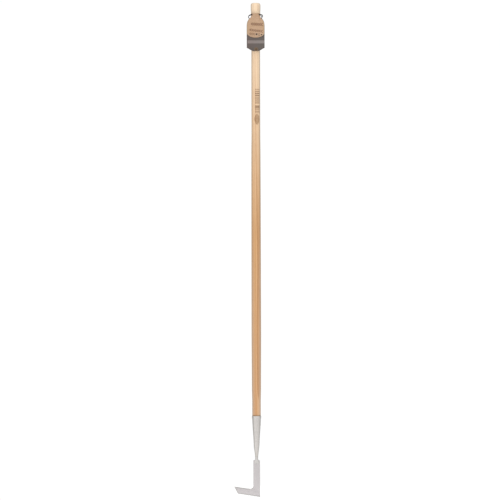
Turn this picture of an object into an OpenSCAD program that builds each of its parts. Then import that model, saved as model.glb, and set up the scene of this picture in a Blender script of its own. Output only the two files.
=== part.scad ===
// Stand-up weeder: a long round ash handle, a rolled stainless socket with a
// round neck welded into it, a flat L-shaped blade and a card tag that hangs
// on an elastic cord.
//
// Heights are measured up from the blade's lowest corner. The origin is on the
// handle's axis at hold_height, where a rack clip holds the grip. The blade's
// hook points along -X and the front of the tag faces -Y.

/* [Handle] */
// Height of the handle's top above the blade's lowest corner
total_length = 1550; // [1548:1:1650]
// Diameter of the straight grip, which a rack clip holds
grip_d = 27.2; // [25:0.1:28.5]
// Diameter of the thickest part, where the lower hand holds
swell_d = 29.8; // [28.6:0.1:31]
// Diameter of the knob at the top
knob_d = 30.4; // [29.6:0.1:33]
// Length of the knob's straight side
knob_length = 15; // [10:1:18]
// Height of the place where a rack clip holds the grip
hold_height = 1270; // [1200:1:1340]

/* [Socket] */
// Height of the socket's mouth
mouth_height = 254; // [252:0.5:256]
// Thickness of the rolled sheet
sheet = 1.5; // [1.2:0.1:1.6]
// Width of the open seam down the back
seam_gap = 1.2; // [0.6:0.1:3]
// Height of the fixing screw
screw_height = 226; // [205:1:230]
// Angle from the back to the screw, about the handle's axis
screw_turn = 50; // [30:1:80]

/* [Neck and blade] */
// Diameter of the round neck between the socket and the blade
neck_d = 9; // [8:0.1:9]
// Thickness of the blade
blade_thickness = 3; // [2:0.1:4]
// Height of the shoulders at the blade's top
shoulder_height = 115.5; // [112:0.5:117]
// Width of the blade's upright
upright_w = 20.8; // [20:0.1:24]
// Width of the hook's strip, across its length
hook_w = 20.8; // [18:0.1:24]
// Reach of the hook's tip from the handle's axis
hook_reach = 71; // [60:0.5:85]
// Rise of the hook's lower edge towards the tip, in degrees
hook_rise = 8.2; // [5:0.1:12]
// Radius in the corner between hook and upright
corner_r = 10; // [8:0.5:16]
// Width of the ground bevel along the cutting edges
bevel_w = 3.2; // [2:0.1:5]
// Thickness left at the cutting edges
edge_land = 0.6; // [0.4:0.1:1.2]

/* [Tag] */
// Height of the tag's top edge
tag_top = 1516.6; // [1505:0.1:1518]
// Width of the tag
tag_w = 56; // [50:0.5:62]
// Width of the tag's neck, level with the cord holes
tag_neck_w = 29.6; // [29:0.1:34]
// Length of the dark backing card
card_length = 118.2; // [100:0.1:130]
// Length of the kraft label in front of it
label_length = 76; // [60:1:90]
// Thickness of the backing card
card_t = 0.5; // [0.3:0.1:0.6]
// Thickness of the kraft label
label_t = 0.4; // [0.3:0.1:0.6]
// Diameter of the elastic cord
cord_d = 2.5; // [1.6:0.1:2.5]

/* [Hidden] */

$fn = 64;
eps = 0.01;
slip = 0.05;        // gap between wood and sheet, and round the screw

// Outer outline of the socket, from its lower end to its flared mouth: [height, radius]
socket_foot = 139;
socket_outline = [
    [socket_foot, 6.2], [147, 7.4], [153, 8.1], [163, 8.9], [178, 9.5], [194, 10.5],
    [210, 11.6], [226, 12.6], [242, 13.4], [248, 14.1], [mouth_height, 14.8]
];
wood_end = 166;     // lower end of the handle, inside the socket
seam_foot = 150;    // below this the seam is welded shut

// Handle outline above the socket: [height, radius]
grip_foot = 1140;
grip_top = 1400;
knob_top = total_length - 7;
handle_outline = [
    [mouth_height, wood_in_socket(mouth_height)], [300, 13.3], [340, 14.1], [400, 14.4],
    [520, swell_d / 2], [800, 14.6], [1080, 14.1], [grip_foot, grip_d / 2], [grip_top, grip_d / 2],
    [1522, 14.6], [knob_top - knob_length, knob_d / 2], [knob_top, knob_d / 2]
];
knob_flat_r = 7.2;  // flat left on top of the knob, inside its rounded edge
knob_steps = 10;

screw_r = 2;
screw_head_r = 4;
screw_length = 13;
screw_seat = lookup(screw_height + screw_head_r, socket_outline);

neck_top = 158;     // upper end of the neck, inside the socket
neck_weld_foot = 124;
fan_top = 119;      // where the neck starts to flatten
fan_foot = 104;     // where its cheeks end on the blade's faces
fan_w = 15;

// Corners of the blade, seen from the front: [x, height]
heel = [upright_w / 2 + 0.6, 0];
function rise(x) = (heel[0] - x) * tan(hook_rise);
strip_h = hook_w / cos(hook_rise);
tip = [-hook_reach, rise(-hook_reach) + strip_h];
toe = [-hook_reach + 12.2, rise(-hook_reach + 12.2)];
crook = [-upright_w / 2, rise(-upright_w / 2) + strip_h];
corner_leg = corner_r / tan((90 - hook_rise) / 2);
corner_c = [crook[0] - corner_r, crook[1] + corner_leg];
weld_leg = 3;

// The cord's holes, level with the axis on which the tag swings
hole_x = 12.6;
hole_r = 1.45;
swing_y = -17.6;
swing_height = tag_top - 4;
card_back = swing_y - cord_d / 2 - 0.3;

// How the tag widens from its neck: [distance below its top, share of the widening]
shoulder = [
    [9, 0], [11, 0.012], [12.3, 0.045], [13.7, 0.14], [15.4, 0.27], [18.6, 0.52], [21.7, 0.69],
    [24.6, 0.8], [27.9, 0.885], [31, 0.94], [34.2, 0.975], [37.4, 0.995], [40.6, 1]
];

// Lower corners of the card and of the label: [distance in from the side, height above the lower edge]
card_foot = [
    [0, 10.9], [0.3, 10], [1, 9.2], [4, 7.9], [6.5, 6.6], [9.8, 4.4], [12.5, 3], [14.5, 2], [17, 0.5],
    [21, 0]
];
label_foot = [
    [0, 11.4], [0.8, 10.4], [2.3, 8.9], [5.4, 6], [8.6, 4], [11.7, 2.5], [14.9, 1.5], [18.4, 0.6],
    [22.4, 0]
];

// Route of the elastic cord from the left hole round the back of the handle to
// the right hole: x, y and height above the swing axis
cord_route = [
    [-14, -17.6, 0], [-17, -17.6, -0.7], [-20.2, -16.4, -2.6], [-22, -13.2, -5.2],
    [-22.2, -8.8, -7.6], [-21.4, -4.4, -9.8], [-19.6, 0.4, -11.6], [-17.3, 5.2, -13.2],
    [-14, 9.6, -14.8], [-9.4, 13.3, -16], [-3.4, 15.8, -16.8], [3, 15.8, -16.8],
    [9.2, 13.4, -16.2], [13.9, 9.4, -15], [16.8, 4.6, -13.4], [18.3, -0.4, -11.4],
    [19.5, -5, -9.2], [20.7, -9.4, -6.6], [21.6, -13.2, -3.8], [20.6, -16.4, -1.2],
    [17.4, -17.6, 0], [14, -17.6, 0]
];
cord_sides = 8;

// The cut end below each knot, left and right: [length, lean outwards]
cord_tails = [[8, 60], [14, 33]];

WOOD = "#dcae7c";
STEEL = "#c8c5c2";
KRAFT = "#bb9570";
CARD = "#655a56";
ELASTIC = "#3b3530";

// Moves what is drawn at heights above the blade's lowest corner into the part's frame
module from_ground() {
    translate([0, 0, -hold_height]) children();
}

// Draws a front view, [x, height], as a plate between y_back and y_back - t
module plate(y_back, t) {
    translate([0, y_back, 0]) rotate([90, 0, 0]) linear_extrude(t) children();
}

// Places what lies along +Z from the handle's axis at the fixing screw
module at_screw() {
    translate([0, 0, screw_height]) rotate([-90, 0, -screw_turn]) children();
}

function wood_in_socket(z) = lookup(z, socket_outline) - sheet - slip;
function knob_edge(a) = [
    knob_flat_r + (knob_d / 2 - knob_flat_r) * cos(a),
    knob_top + (total_length - knob_top) * sin(a)
];

module ash_handle() {
    color(WOOD) from_ground() difference() {
        rotate_extrude() polygon(concat(
            [[0, wood_end], [wood_in_socket(wood_end) - 1.5, wood_end]],
            [[wood_in_socket(wood_end + 2), wood_end + 2]],
            [for (p = socket_outline) if (p[0] > wood_end + 2 && p[0] < mouth_height)
                [wood_in_socket(p[0]), p[0]]],
            [for (p = handle_outline) [p[1], p[0]]],
            [for (i = [1:knob_steps]) knob_edge(90 * i / knob_steps)],
            [[0, total_length]]
        ));
        at_screw() translate([0, 0, screw_seat - screw_length - 0.5])
            cylinder(r = screw_r, h = screw_length + 2);
    }
}

// Sheet rolled to a cone, open along the back, with a flared mouth
module handle_socket() {
    color(STEEL) from_ground() difference() {
        rotate_extrude() polygon(concat(
            [for (p = socket_outline) [p[1], p[0]]],
            [for (i = [len(socket_outline) - 1:-1:0])
                [socket_outline[i][1] - sheet, socket_outline[i][0]]]
        ));
        translate([-seam_gap / 2, 0, seam_foot])
            cube([seam_gap, 20, mouth_height - seam_foot + 1]);
        at_screw() cylinder(r = screw_r + 0.3, h = 20);
    }
}

module socket_screw() {
    color(STEEL) from_ground() at_screw() {
        translate([0, 0, screw_seat - screw_length]) cylinder(r = screw_r - slip, h = screw_length);
        translate([0, 0, screw_seat]) difference() {
            rotate_extrude() polygon(concat(
                [[0, 0], [screw_head_r, 0]],
                [for (i = [0:6]) [screw_head_r * cos(15 * i), 0.6 + 1.6 * sin(15 * i)]]
            ));
            for (turn = [0, 90]) rotate(turn)
                translate([-2.2, -0.4, 0.9]) cube([4.4, 0.8, 2]);
        }
    }
}

// Tapered bead that closes the socket's lower end round the neck
module socket_weld() {
    color(STEEL) from_ground() rotate_extrude() polygon([
        [neck_d / 2, neck_weld_foot], [neck_d / 2 + 0.3, neck_weld_foot + 3],
        [5.3, socket_foot - 4], [socket_outline[0][1], socket_foot], [neck_d / 2, socket_foot]
    ]);
}

// Round bar, flattened to a fan at its lower end and slit to take the blade
module neck_rod() {
    color(STEEL) from_ground() difference() {
        union() {
            translate([0, 0, fan_top]) cylinder(d = neck_d, h = neck_top - fan_top);
            hull() {
                translate([0, 0, fan_top]) cylinder(d = neck_d, h = eps, $fn = 32);
                plate(blade_thickness / 2 + 0.3, blade_thickness + 0.6)
                    translate([-fan_w / 2, fan_foot]) square([fan_w, 1]);
            }
        }
        plate(blade_thickness / 2, blade_thickness)
            translate([-20, 0]) square([40, shoulder_height]);
    }
}

// Fillet beads between the neck's sides and the blade's shoulders
module blade_weld() {
    color(STEEL) from_ground() for (side = [0, 1]) mirror([side, 0, 0])
        plate(blade_thickness / 2, blade_thickness) difference() {
            polygon([
                [neck_side(shoulder_height), shoulder_height],
                [neck_side(shoulder_height) + weld_leg, shoulder_height],
                [neck_side(shoulder_height + weld_leg), shoulder_height + weld_leg]
            ]);
            translate([neck_side(shoulder_height) + weld_leg, shoulder_height + weld_leg])
                circle(r = weld_leg * 0.97);
        }
}

// Half the neck's width at the middle of the fan, at a height
function neck_side(z) = lookup(z, [[fan_foot + 1, fan_w / 2 + 0.1], [fan_top, neck_d / 2 + 0.1]]);

// Straight wedge that a grinding wheel takes off the front along the edge from p to q
module bevel_cut(p, q) {
    run = q - p;
    depth = blade_thickness - edge_land;
    translate([p[0], 0, p[1]]) rotate([0, -atan2(run[1], run[0]), 0])
        translate([-20, 0, 0]) rotate([90, 0, 90]) linear_extrude(norm(run) + 40)
            polygon([
                [-blade_thickness / 2 - 1, -1], [-blade_thickness / 2 - 1, bevel_w],
                [-blade_thickness / 2, bevel_w], [-blade_thickness / 2 + depth, 0],
                [-blade_thickness / 2 + depth, -1]
            ]);
}

// Flat L cut from plate, ground from the front along the hook's edges
module l_blade() {
    arc_from = 270 - hook_rise;
    color(STEEL) from_ground() difference() {
        plate(blade_thickness / 2, blade_thickness) polygon(concat(
            [heel, [upright_w / 2, shoulder_height - 1.5], [upright_w / 2 - 1.5, shoulder_height]],
            [[-upright_w / 2 + 1.5, shoulder_height], [-upright_w / 2, shoulder_height - 1.5]],
            [for (i = [0:12]) corner_c + corner_r
                * [cos(360 - (360 - arc_from) * i / 12), sin(360 - (360 - arc_from) * i / 12)]],
            [tip + [1.6, -0.25], tip + [0.7, -1.3], toe + [-0.7, 1.2], toe + [0.9, -0.1]]
        ));
        bevel_cut(toe, heel);
        // upper edge of the hook, run out before the corner
        intersection() {
            bevel_cut(crook, tip);
            translate([crook[0] - corner_r, 0, 0]) linear_extrude(60) polygon([
                [-hook_reach, -5], [5, -5], [-2, -blade_thickness / 2],
                [-2 - 2 * blade_thickness, blade_thickness / 2], [-hook_reach, blade_thickness / 2]
            ]);
        }
        // slanting end
        intersection() {
            bevel_cut(tip, toe);
            translate([-hook_reach - 5, -5, -5]) cube([30, 10, 60]);
        }
    }
}

// Front view of a tag with a neck, sloping shoulders and its own lower corners;
// inset draws it a little smaller at the sides and shoulders
module tag_outline(length, inset, foot) {
    half = tag_w / 2 - inset;
    neck = tag_neck_w / 2 - inset / 3;
    right = concat(
        [[neck, tag_top]],
        [for (p = shoulder) [neck + (half - neck) * p[1], tag_top - p[0] - inset]],
        [for (p = foot) [half - p[0], tag_top - length + p[1]]]
    );
    left = [for (i = [len(right) - 1:-1:0]) [-right[i][0], right[i][1]]];
    difference() {
        polygon(concat(right, left));
        for (x = [-hole_x, hole_x]) translate([x, swing_height]) circle(r = hole_r);
    }
}

module backing_card() {
    color(CARD) from_ground() plate(card_back, card_t) tag_outline(card_length, 0, card_foot);
}

module kraft_label() {
    color(KRAFT) from_ground() plate(card_back - card_t, label_t) tag_outline(label_length, 0.6, label_foot);
}

function unit(v) = v / norm(v);
function ahead(i) = unit(
    cord_route[min(i + 1, len(cord_route) - 1)] - cord_route[max(i - 1, 0)]
);
function ring(i) = let (
    end = i == 0 || i == len(cord_route) - 1,
    t = end ? [-1, 0, 0] : ahead(i),
    side = unit(cross(t, [0, 0, 1])),
    up = cross(side, t)
) [for (k = [0:cord_sides - 1])
    cord_route[i] + cord_d / 2 * (side * cos(360 * k / cord_sides) + up * sin(360 * k / cord_sides))];

module elastic_cord() {
    rings = len(cord_route);
    points = [for (i = [0:rings - 1]) each ring(i)];
    walls = [for (i = [0:rings - 2], k = [0:cord_sides - 1]) let (
        a = i * cord_sides + k,
        b = i * cord_sides + (k + 1) % cord_sides
    ) [a, b, b + cord_sides, a + cord_sides]];
    ends = [
        [for (k = [cord_sides - 1:-1:0]) k],
        [for (k = [0:cord_sides - 1]) (rings - 1) * cord_sides + k]
    ];
    color(ELASTIC) from_ground() translate([0, 0, swing_height])
        polyhedron(points = points, faces = concat(walls, ends), convexity = 6);
}

// The cord's two ends: each passes through the tag's hole and is knotted in front
module cord_knots() {
    knot_r = 2.2;
    front = card_back - card_t - label_t;
    color(ELASTIC) from_ground() for (i = [0, 1])
        translate([hole_x * (2 * i - 1), 0, swing_height]) {
            translate([0, front - knot_r, 0]) sphere(r = knot_r);
            translate([0, swing_y, 0]) sphere(d = cord_d);
            translate([0, swing_y, 0]) rotate([90, 0, 0])
                cylinder(d = cord_d, h = swing_y - front + knot_r);
            translate([0, front - knot_r, 0]) rotate([0, 180 + cord_tails[i][1] * (1 - 2 * i), 0])
                cylinder(d = cord_d, h = cord_tails[i][0]);
        }
}

ash_handle();
handle_socket();
socket_screw();
socket_weld();
neck_rod();
blade_weld();
l_blade();
backing_card();
kraft_label();
elastic_cord();
cord_knots();
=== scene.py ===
import math

import bmesh
import bpy
from mathutils import Matrix, Vector


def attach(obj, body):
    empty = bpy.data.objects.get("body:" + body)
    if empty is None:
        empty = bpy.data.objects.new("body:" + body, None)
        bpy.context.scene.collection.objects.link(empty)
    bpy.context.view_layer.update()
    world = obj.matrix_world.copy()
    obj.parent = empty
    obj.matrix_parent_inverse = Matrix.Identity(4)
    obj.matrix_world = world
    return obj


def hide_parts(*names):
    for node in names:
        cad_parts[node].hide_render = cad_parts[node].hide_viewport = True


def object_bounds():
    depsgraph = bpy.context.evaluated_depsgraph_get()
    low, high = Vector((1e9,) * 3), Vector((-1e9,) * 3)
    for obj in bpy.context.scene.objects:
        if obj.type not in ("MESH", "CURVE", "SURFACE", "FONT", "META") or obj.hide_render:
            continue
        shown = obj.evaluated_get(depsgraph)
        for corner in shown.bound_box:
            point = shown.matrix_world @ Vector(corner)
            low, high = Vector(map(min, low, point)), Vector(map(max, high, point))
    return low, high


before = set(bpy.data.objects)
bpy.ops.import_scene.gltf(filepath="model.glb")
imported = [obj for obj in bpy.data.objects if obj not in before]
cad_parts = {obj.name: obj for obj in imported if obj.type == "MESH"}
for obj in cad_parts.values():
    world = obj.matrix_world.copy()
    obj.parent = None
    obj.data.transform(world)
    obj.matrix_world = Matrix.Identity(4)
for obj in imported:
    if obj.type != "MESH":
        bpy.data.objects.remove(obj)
cad_low, cad_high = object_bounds()

MM = 0.001
GROUND = cad_low.z      # the blade's lowest corner
GRIP_RADIUS = 13.6
SOCKET_RADIUS = 12      # about halfway up
HOLE_RADIUS = 1.45      # the punched holes in the tag


def height(mm):
    """Height in the frame of a place so many millimetres above the blade's lowest corner."""
    return GROUND + mm * MM


def put(name, data):
    """A new object in the scene with this data."""
    made = bpy.data.objects.new(name, data)
    bpy.context.collection.objects.link(made)
    return made


# ---- camera, lights, floor

def set_camera():
    """Looks square at the tool from far away, with the tool a little right of the middle."""
    distance = 16.0
    seen_height = 1.569
    data = bpy.data.cameras.new("camera")
    data.sensor_width = 36
    data.lens = data.sensor_width * distance / seen_height
    camera = put("camera", data)
    camera.location = (-0.0193, -distance, height(774.8))
    camera.rotation_euler = (math.radians(90), math.radians(0.132), 0)
    bpy.context.scene.camera = camera


def add_softbox(name, turn, distance, level, size, brightness):
    """An upright softbox that faces the tool; turn is its angle from the front, towards the right."""
    data = bpy.data.lights.new(name, "AREA")
    data.shape = "RECTANGLE"
    data.size, data.size_y = size
    data.energy = brightness * size[0] * size[1] * math.pi
    light = put(name, data)
    turn = math.radians(turn)
    light.location = (distance * math.sin(turn), -distance * math.cos(turn), height(level))
    light.rotation_euler = (math.radians(90), 0, turn)


def set_lights():
    """A white studio, brighter in front of the tool than behind, with tall softboxes at both sides."""
    add_softbox("left_softbox", -58, 3.2, 1000, (0.5, 2.4), 2.6)
    add_softbox("right_softbox", 76, 3.2, 950, (0.4, 2.4), 1.8)
    floor_light = bpy.data.lights.new("floor_light", "AREA")
    floor_light.size = 2.2
    floor_light.energy = 16
    put("floor_light", floor_light).location = (0, 0, height(3200))
    world = bpy.data.worlds.new("white_studio")
    world.use_nodes = True
    world.node_tree.nodes.clear()
    g = Graph(world.node_tree)
    seen = g.feed(g.node("ShaderNodeBackground"), Color=(1, 1, 1, 1), Strength=1.02)
    towards = g.split(g.node("ShaderNodeTexCoord").outputs["Generated"])
    given = g.feed(g.node("ShaderNodeBackground"), Color=(1, 0.995, 0.985, 1),
                   Strength=g.ramp(towards["Y"], -1.0, 0.3, 1.06, 0.44))
    mix = g.node("ShaderNodeMixShader")
    g.wire(g.node("ShaderNodeLightPath").outputs["Is Camera Ray"], mix.inputs[0])
    g.wire(given.outputs[0], mix.inputs[1])
    g.wire(seen.outputs[0], mix.inputs[2])
    g.wire(mix.outputs[0], g.node("ShaderNodeOutputWorld").inputs["Surface"])
    bpy.context.scene.world = world
    bpy.context.scene.view_settings.view_transform = "Standard"


def add_floor():
    """A pale floor just under the blade."""
    bm = bmesh.new()
    bmesh.ops.create_circle(bm, cap_ends=True, segments=96, radius=0.8)
    bm.transform(Matrix.Translation((0, 0, height(-0.5))))
    floor = link_mesh("floor", bm)
    floor.data.materials.append(plain_floor_paint())


# ---- node helpers

def srgb(red, green, blue):
    """A colour given as 0 to 255 on a screen, as the linear colour that a shader takes."""
    def linear(value):
        value /= 255
        return value / 12.92 if value <= 0.04045 else ((value + 0.055) / 1.055) ** 2.4
    return (linear(red), linear(green), linear(blue), 1)


class Graph:
    """Adds nodes to one tree and wires them; a value may be a number, a colour or a socket."""

    def __init__(self, tree):
        self.tree = tree

    def node(self, kind, **settings):
        made = self.tree.nodes.new(kind)
        for key, value in settings.items():
            setattr(made, key, value)
        return made

    def wire(self, value, socket):
        if isinstance(value, bpy.types.NodeSocket):
            self.tree.links.new(value, socket)
        else:
            socket.default_value = value

    def feed(self, made, **values):
        """Sets or wires a node's inputs by name; underscores in a name stand for spaces."""
        for key, value in values.items():
            self.wire(value, made.inputs[key.replace("_", " ")])
        return made

    def math(self, operation, *values, clamp=False):
        made = self.node("ShaderNodeMath", operation=operation, use_clamp=clamp)
        for value, socket in zip(values, made.inputs):
            self.wire(value, socket)
        return made.outputs[0]

    def times(self, *values, **settings):
        return self.math("MULTIPLY", *values, **settings)

    def plus(self, *values, **settings):
        return self.math("ADD", *values, **settings)

    def minus(self, *values, **settings):
        return self.math("SUBTRACT", *values, **settings)

    def over(self, *values):
        return self.math("DIVIDE", *values)

    def most(self, *values):
        return self.math("MAXIMUM", *values)

    def absolute(self, value):
        return self.math("ABSOLUTE", value)

    def sine(self, value):
        return self.math("SINE", value)

    def vector(self, operation, *values):
        made = self.node("ShaderNodeVectorMath", operation=operation)
        for value, socket in zip(values, made.inputs):
            self.wire(value, socket)
        return made.outputs["Value" if operation in ("LENGTH", "DOT_PRODUCT") else "Vector"]

    def split(self, vector):
        made = self.node("ShaderNodeSeparateXYZ")
        self.wire(vector, made.inputs[0])
        return made.outputs

    def join(self, x, y, z):
        made = self.node("ShaderNodeCombineXYZ")
        for value, socket in zip((x, y, z), made.inputs):
            self.wire(value, socket)
        return made.outputs[0]

    def noise(self, vector, scale, detail=2.0, roughness=0.5):
        made = self.node("ShaderNodeTexNoise")
        self.feed(made, Vector=vector, Scale=scale, Detail=detail, Roughness=roughness)
        return made.outputs["Fac"]

    def ramp(self, value, low, high, to_low=0.0, to_high=1.0, smooth=True):
        made = self.node("ShaderNodeMapRange", clamp=True)
        made.interpolation_type = "SMOOTHSTEP" if smooth else "LINEAR"
        for item, socket in zip((value, low, high, to_low, to_high), made.inputs):
            self.wire(item, socket)
        return made.outputs[0]

    def mix(self, amount, first, second, blend="MIX"):
        made = self.node("ShaderNodeMix", data_type="RGBA", blend_type=blend)
        self.wire(amount, made.inputs["Factor"])
        self.wire(first, made.inputs[6])
        self.wire(second, made.inputs[7])
        return made.outputs[2]

    def tint(self, base, colour, mask, share):
        """Moves the base towards a colour, by a share of the mask."""
        return self.mix(self.times(mask, share), base, colour)

    def place(self):
        return self.node("ShaderNodeTexCoord").outputs["Object"]

    def use(self, group, **values):
        """Puts a node group in the tree and feeds it."""
        return self.feed(self.node("ShaderNodeGroup", node_tree=group), **values).outputs

    def bump(self, height_value, distance, strength=1.0):
        made = self.node("ShaderNodeBump")
        return self.feed(made, Strength=strength, Distance=distance, Height=height_value).outputs["Normal"]


def new_group(name, inputs, outputs):
    """An empty shader node group: its graph, its inner sockets and its tree. An input of None is a vector."""
    tree = bpy.data.node_groups.new(name, "ShaderNodeTree")
    for label, value in inputs.items():
        kind = "NodeSocketVector" if value is None else "NodeSocketFloat"
        socket = tree.interface.new_socket(label, in_out="INPUT", socket_type=kind)
        if value is not None:
            socket.default_value = value
    for label in outputs:
        tree.interface.new_socket(label, in_out="OUTPUT", socket_type="NodeSocketFloat")
    graph = Graph(tree)
    return graph, graph.node("NodeGroupInput").outputs, graph.node("NodeGroupOutput").inputs, tree


def new_material(name, **principled):
    """A material with a Principled shader whose plain values are set, its graph and that shader's inputs."""
    material = bpy.data.materials.new(name)
    material.use_nodes = True
    graph = Graph(material.node_tree)
    shader = material.node_tree.nodes["Principled BSDF"]
    for key, value in principled.items():
        shader.inputs[key.replace("_", " ")].default_value = value
    return material, graph, shader.inputs


# ---- shader groups

def blotch_group():
    """Soft uneven patches, such as handling marks and uneven lacquer."""
    g, given, out, tree = new_group(
        "soft_blotches", {"Vector": None, "Size": 0.02, "Sharpness": 0.3}, ["Mask"])
    scale = g.over(1.0, given["Size"])
    patches = g.noise(given["Vector"], scale, 3, 0.55)
    low = g.minus(0.5, given["Sharpness"])
    high = g.plus(0.5, given["Sharpness"])
    g.wire(g.ramp(patches, low, high), out["Mask"])
    return tree


def brushing_group():
    """Fine straight lines left by a belt. The lines run along the vector's third axis."""
    g, given, out, tree = new_group(
        "belt_lines", {"Vector": None, "Line Width": 0.0003, "Line Length": 0.02}, ["Shade", "Height"])
    parts = g.split(given["Vector"])
    x = g.over(parts["X"], given["Line Width"])
    y = g.over(parts["Y"], given["Line Width"])
    z = g.over(parts["Z"], given["Line Length"])
    fine = g.noise(g.join(x, y, z), 1.0, 3, 0.6)
    broad = g.noise(g.vector("MULTIPLY", g.join(x, y, z), (0.22, 0.22, 0.3)), 1.0, 2, 0.5)
    g.wire(g.plus(g.times(fine, 0.6), g.times(broad, 0.4)), out["Shade"])
    g.wire(fine, out["Height"])
    return tree


def fibre_group():
    """Short matted fibres of uncoated card."""
    g, given, out, tree = new_group(
        "card_fibres", {"Vector": None, "Fibre Length": 0.0012}, ["Flecks", "Height"])
    scale = g.over(1.0, given["Fibre Length"])
    lengthwise = g.noise(g.vector("MULTIPLY", given["Vector"], (0.35, 1, 1.6)), scale, 4, 0.65)
    crosswise = g.noise(g.vector("MULTIPLY", given["Vector"], (1.6, 1, 0.35)), scale, 4, 0.65)
    flecks = g.most(g.ramp(lengthwise, 0.60, 0.72), g.ramp(crosswise, 0.61, 0.73))
    g.wire(flecks, out["Flecks"])
    g.wire(g.plus(lengthwise, crosswise), out["Height"])
    return tree


def slanted(g, given):
    """Place from a print's centre, and height above its slanted middle line."""
    local = g.split(g.vector("SUBTRACT", given["Vector"], given["Centre"]))
    return local, g.minus(local["Z"], g.times(local["X"], given["Slant"]))


def bar_group():
    """A slanted bar with soft, slightly ragged edges, on the vector's first and third axes."""
    g, given, out, tree = new_group(
        "inked_bar", {"Vector": None, "Centre": None, "Half Width": 0.01, "Half Height": 0.002,
                      "Slant": 0.0, "Edge": 0.0004}, ["Mask"])
    local, lifted = slanted(g, given)
    ragged = g.times(g.minus(g.noise(given["Vector"], 900.0, 2), 0.5), given["Edge"])
    across = g.minus(g.absolute(local["X"]), given["Half Width"])
    along = g.minus(g.absolute(lifted), given["Half Height"])
    outside = g.plus(g.most(across, along), ragged)
    inside = g.over(g.times(outside, -1.0), given["Edge"])
    g.wire(g.plus(inside, 0.5, clamp=True), out["Mask"])
    return tree


def leaf_row_group():
    """A row of whole leaves on both sides of a stem, along the vector's first axis."""
    g, given, out, tree = new_group(
        "leaf_row", {"Vector": None, "Centre": None, "Half Width": 0.02, "Half Height": 0.004,
                     "Pitch": 0.008, "Slant": 0.0}, ["Mask"])
    local, lifted = slanted(g, given)
    rise = g.over(g.absolute(lifted), given["Half Height"])
    lean = g.times(rise, 0.8)
    phase = g.minus(g.over(local["X"], given["Pitch"]), lean)
    from_spine = g.absolute(g.minus(g.math("FRACT", phase), 0.5))
    belly = g.sine(g.times(rise, math.pi))
    leaf = g.minus(g.times(belly, 0.36), from_spine)
    leaf_mask = g.times(g.ramp(leaf, -0.02, 0.03), g.math("LESS_THAN", rise, 1.0))
    leaf_foot = g.times(g.plus(g.math("FLOOR", phase), 0.5), given["Pitch"])
    kept = g.math("LESS_THAN", g.absolute(leaf_foot), given["Half Width"])
    stem_reach = g.minus(given["Half Width"], g.absolute(local["X"]))
    stem = g.times(g.ramp(rise, 0.16, 0.08), g.ramp(stem_reach, 0.0, 0.0006))
    g.wire(g.most(g.times(leaf_mask, kept), stem), out["Mask"])
    return tree


def daisy_group():
    """A small flower: a ring of petals and a round eye, on the vector's first and third axes."""
    g, given, out, tree = new_group(
        "daisy", {"Vector": None, "Centre": None, "Radius": 0.005}, ["Petals", "Eye"])
    local = g.split(g.vector("SUBTRACT", given["Vector"], given["Centre"]))
    flat = g.join(local["X"], 0.0, local["Z"])
    far = g.over(g.vector("LENGTH", flat), given["Radius"])
    turn = g.math("ARCTAN2", local["Z"], local["X"])
    lobes = g.absolute(g.math("COSINE", g.times(turn, 4.5)))
    reach = g.plus(0.55, g.times(lobes, 0.45))
    g.wire(g.ramp(g.minus(reach, far), -0.04, 0.06), out["Petals"])
    g.wire(g.ramp(far, 0.44, 0.34), out["Eye"])
    return tree


BLOTCHES = blotch_group()
BRUSHING = brushing_group()
FIBRES = fibre_group()
INKED_BAR = bar_group()
LEAF_ROW = leaf_row_group()
DAISY = daisy_group()


# ---- materials

def plain_floor_paint():
    """Pale matt floor with faint uneven patches."""
    material, g, shader = new_material("studio_floor", Roughness=0.85, Emission_Strength=0.5)
    patches = g.use(BLOTCHES, Vector=g.place(), Size=0.6, Sharpness=0.4)["Mask"]
    shade = g.mix(patches, (0.90, 0.90, 0.90, 1), (0.93, 0.93, 0.93, 1))
    g.wire(shade, shader["Base Color"])
    g.wire(shade, shader["Emission Color"])
    return material


RING_PITCH = 0.0031             # how far apart the growth rings lie
PITH = (-0.024, 0.046)          # where the tree's middle lay beside the handle


def ash_rings(g, place):
    """Growth rings of a board that lay beside the pith: masks of the ring profile and of the open pores."""
    parts = g.split(place)
    slow = g.noise(g.vector("MULTIPLY", place, (6.0, 6.0, 1.1)), 1.0, 2, 0.5)
    slower = g.noise(g.vector("MULTIPLY", place, (3.0, 3.0, 0.45)), 1.0, 1, 0.5)
    x = g.plus(parts["X"], g.times(g.minus(slow, 0.5), 0.016))
    y = g.plus(parts["Y"], g.times(g.minus(slower, 0.5), 0.030))
    off_pith = g.join(g.plus(x, -PITH[0]), g.plus(y, -PITH[1]), 0.0)
    off = g.vector("LENGTH", off_pith)
    uneven = g.noise(g.join(g.times(off, 190.0), 3.5, 0.5), 1.0, 1, 0.5)
    ring = g.plus(g.over(off, RING_PITCH), g.times(uneven, 2.6))
    ring = g.plus(ring, g.times(slow, 0.8))
    phase = g.math("FRACT", ring)
    own = g.noise(g.join(g.math("FLOOR", ring), 0.5, 0.5), 1.7, 0)
    end = g.ramp(own, 0.35, 0.65, 0.36, 0.6)
    early = g.times(g.ramp(phase, 0.0, 0.07), g.ramp(phase, end, 0.12))
    early = g.times(early, g.ramp(own, 0.3, 0.7, 0.6, 1.3))
    late = g.times(g.ramp(phase, 0.45, 0.98), g.ramp(own, 0.3, 0.7, 1.1, 0.5))
    strands = g.noise(g.vector("MULTIPLY", place, (2600.0, 2600.0, 70.0)), 1.0, 2, 0.6)
    share = g.plus(g.times(early, 0.9), 0.1)
    pores = g.times(g.ramp(strands, 0.56, 0.66), share)
    return early, late, pores


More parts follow.
